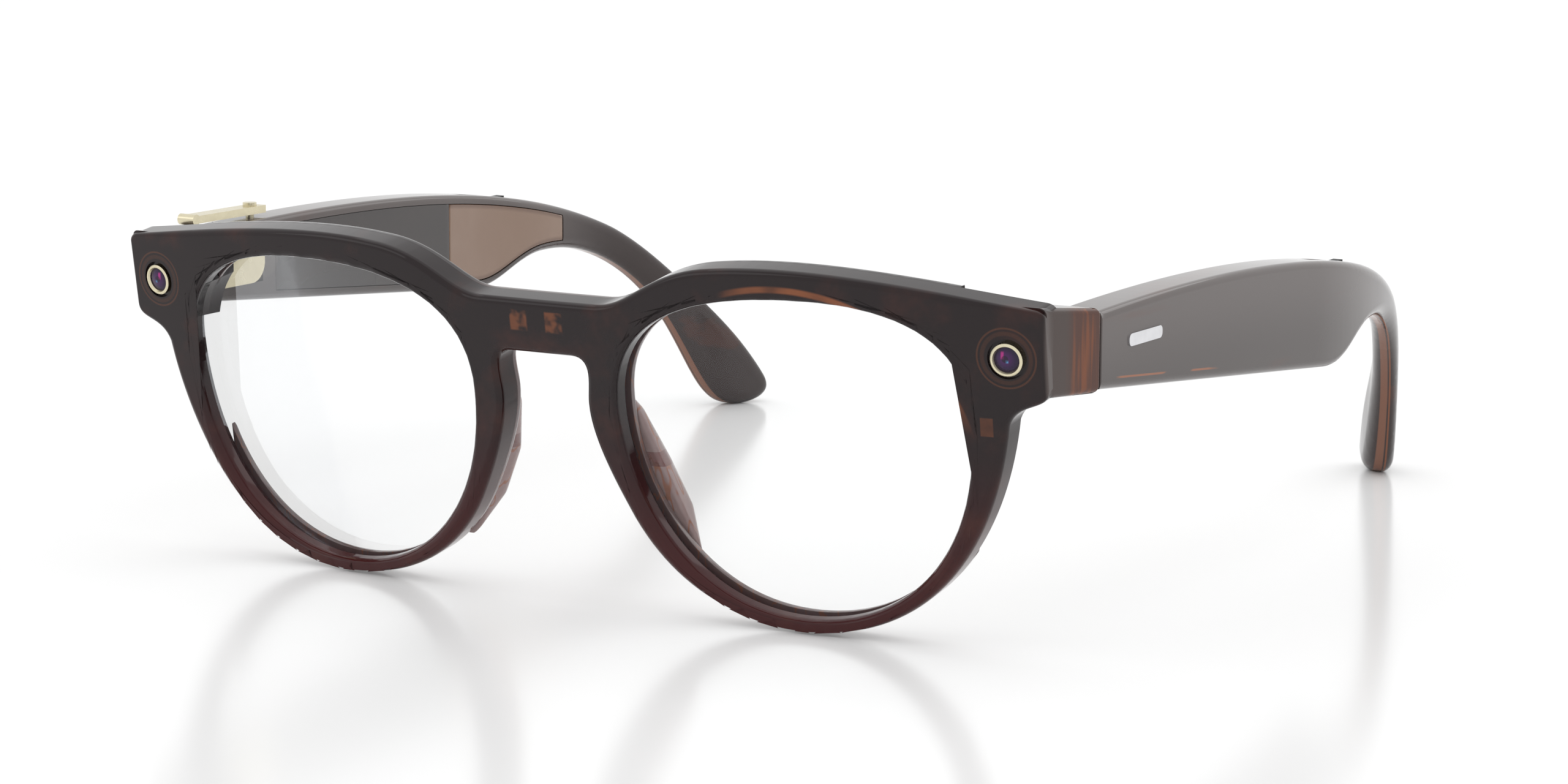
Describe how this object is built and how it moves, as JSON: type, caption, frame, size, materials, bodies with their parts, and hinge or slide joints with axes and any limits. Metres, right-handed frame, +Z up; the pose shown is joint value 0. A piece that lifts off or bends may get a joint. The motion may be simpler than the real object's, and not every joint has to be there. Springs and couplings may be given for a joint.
{
  "type": "smart glasses",
  "caption": "Smart glasses with a thick translucent brown front, clear round lenses, a camera and a light in the end pieces, and hollow temples on sprung hinges.",
  "frame": {"origin": "under the middle of the open glasses, on the surface that they stand on", "axes": "+Z up, -Y the way the wearer looks, +X the wearer's left"},
  "size_m": [0.15, 0.1557, 0.0483],
  "materials": {
    "front_brown": "polished translucent dark brown",
    "cover_brown": "polished translucent grey brown",
    "clear_lens": "clear, coated",
    "pad_brown": "translucent pinkish brown",
    "pale_gold": "satin pale gold",
    "coated_glass": "dark with a violet coating",
    "module_black": "matt black",
    "board_green": "solder mask",
    "copper_plastic": "orange brown",
    "contact_gold": "plated",
    "microphone_metal": "satin",
    "flex_orange": "orange polyimide film",
    "spring_steel": "plain",
    "temple_brown": "polished translucent grey brown",
    "cover_grey": "satin translucent dark grey",
    "speaker_tan": "translucent tan",
    "mesh_black": "fine mesh",
    "core_dark": "dark",
    "bar_metal": "polished",
    "battery_foil": "dark foil",
    "switch_tan": "satin"
  },
  "bodies": {
    "front": {"front_frame": "front_brown", "rear_cover": "cover_brown", "lens_right": "clear_lens", "lens_left": "clear_lens", "nose_pad_right": "pad_brown", "nose_pad_left": "pad_brown", "end_cover_right": "cover_brown", "end_cover_left": "cover_brown", "light_ring": "pale_gold", "camera_ring": "pale_gold", "light_window": "coated_glass", "camera_window": "coated_glass", "light_module": "board_green", "camera_module": "module_black", "contact_carrier": "copper_plastic", "charging_contacts": "contact_gold", "nose_microphone": "microphone_metal", "brow_flex": "flex_orange", "hinge_leaf_right": "pale_gold", "hinge_leaf_left": "pale_gold", "leaf_screws": "pale_gold", "hinge_pin_right": "pale_gold", "hinge_pin_left": "pale_gold"},
    "slider_right": {"hinge_slider_right": "pale_gold", "hinge_spring_right": "spring_steel"},
    "temple_right": {"hinge_housing_right": "pale_gold", "temple_shell_right": "temple_brown", "temple_cover_right": "cover_grey", "speaker_box_right": "speaker_tan", "speaker_right": "module_black", "vent_mesh_right": "mesh_black", "ear_core_right": "core_dark", "temple_flex_right": "flex_orange", "temple_bar_right": "bar_metal", "main_board": "board_green", "touch_pad": "flex_orange", "temple_microphone": "microphone_metal", "button_switch": "microphone_metal"},
    "slider_left": {"hinge_slider_left": "pale_gold", "hinge_spring_left": "spring_steel"},
    "temple_left": {"hinge_housing_left": "pale_gold", "temple_shell_left": "temple_brown", "temple_cover_left": "cover_grey", "speaker_box_left": "speaker_tan", "speaker_left": "module_black", "vent_mesh_left": "mesh_black", "ear_core_left": "core_dark", "temple_flex_left": "flex_orange", "temple_bar_left": "bar_metal", "battery": "battery_foil", "power_switch_base": "module_black"},
    "capture_button": {"capture_button": "pale_gold"},
    "power_switch": {"power_switch": "switch_tan"}
  },
  "joints": [
    {"name": "fold_left", "type": "hinge", "parent": "front", "child": "slider_left", "pos_m": [0.0663, -0.0616, 0.0386], "axis": [0, 0, 1], "range_deg": [-4, 88]},
    {"name": "slide_left", "type": "slide", "parent": "slider_left", "child": "temple_left", "axis": [0, 1, 0], "range_m": [0, 0.00048], "stiffness_N_per_m": 3000, "springref_m": -0.0005},
    {"name": "fold_right", "type": "hinge", "parent": "front", "child": "slider_right", "pos_m": [-0.0663, -0.0616, 0.0386], "axis": [0, 0, -1], "range_deg": [-4, 60]},
    {"name": "slide_right", "type": "slide", "parent": "slider_right", "child": "temple_right", "axis": [0, 1, 0], "range_m": [0, 0.00048], "stiffness_N_per_m": 3000, "springref_m": -0.0005},
    {"name": "button_press", "type": "hinge", "parent": "temple_right", "child": "capture_button", "pos_m": [-0.0709, -0.0588, 0.04475], "axis": [-1, 0, 0], "range_deg": [0, 1.5], "stiffness_Nm_per_rad": 2, "springref_deg": -1.15},
    {"name": "power_slide", "type": "slide", "parent": "temple_left", "child": "power_switch", "axis": [0, 1, 0], "range_m": [0, 0.002]}
  ]
}
